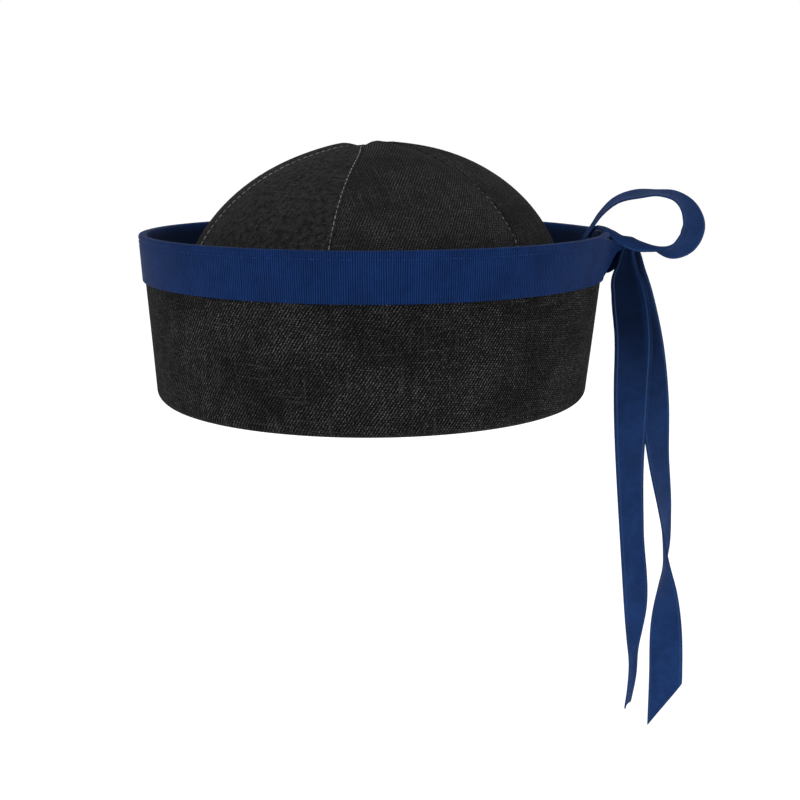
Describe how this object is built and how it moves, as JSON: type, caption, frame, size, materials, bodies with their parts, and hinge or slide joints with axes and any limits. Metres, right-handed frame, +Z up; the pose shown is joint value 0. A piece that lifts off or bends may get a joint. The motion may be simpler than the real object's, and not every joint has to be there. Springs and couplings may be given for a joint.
{
  "type": "sailor cap",
  "caption": "Black denim sailor cap with a domed gored crown, an upturned brim bound in blue grosgrain, and a ribbon bow with long tails at the back.",
  "frame": {"origin": "on the cap's axis at the underside of the brim's base fold, where a head enters", "axes": "+Z up through the crown, +X towards the bow, -Y the side seen in the picture"},
  "size_m": [0.2653, 0.2158, 0.2952],
  "materials": {
    "brim_denim": "matte",
    "crown_denim": "matte",
    "grosgrain_binding": "satin",
    "bow_ribbon": "satin"
  },
  "bodies": {
    "root": {"crown_gore_1": "crown_denim", "crown_gore_2": "crown_denim", "crown_gore_3": "crown_denim", "crown_gore_4": "crown_denim", "crown_gore_5": "crown_denim", "crown_gore_6": "crown_denim", "brim": "brim_denim", "brim_binding": "grosgrain_binding", "ribbon_near_tie": "grosgrain_binding", "ribbon_far_tie": "grosgrain_binding", "bow_knot": "bow_ribbon", "bow_loop": "bow_ribbon", "tail_near": "bow_ribbon", "tail_far": "bow_ribbon"}
  },
  "joints": []
}
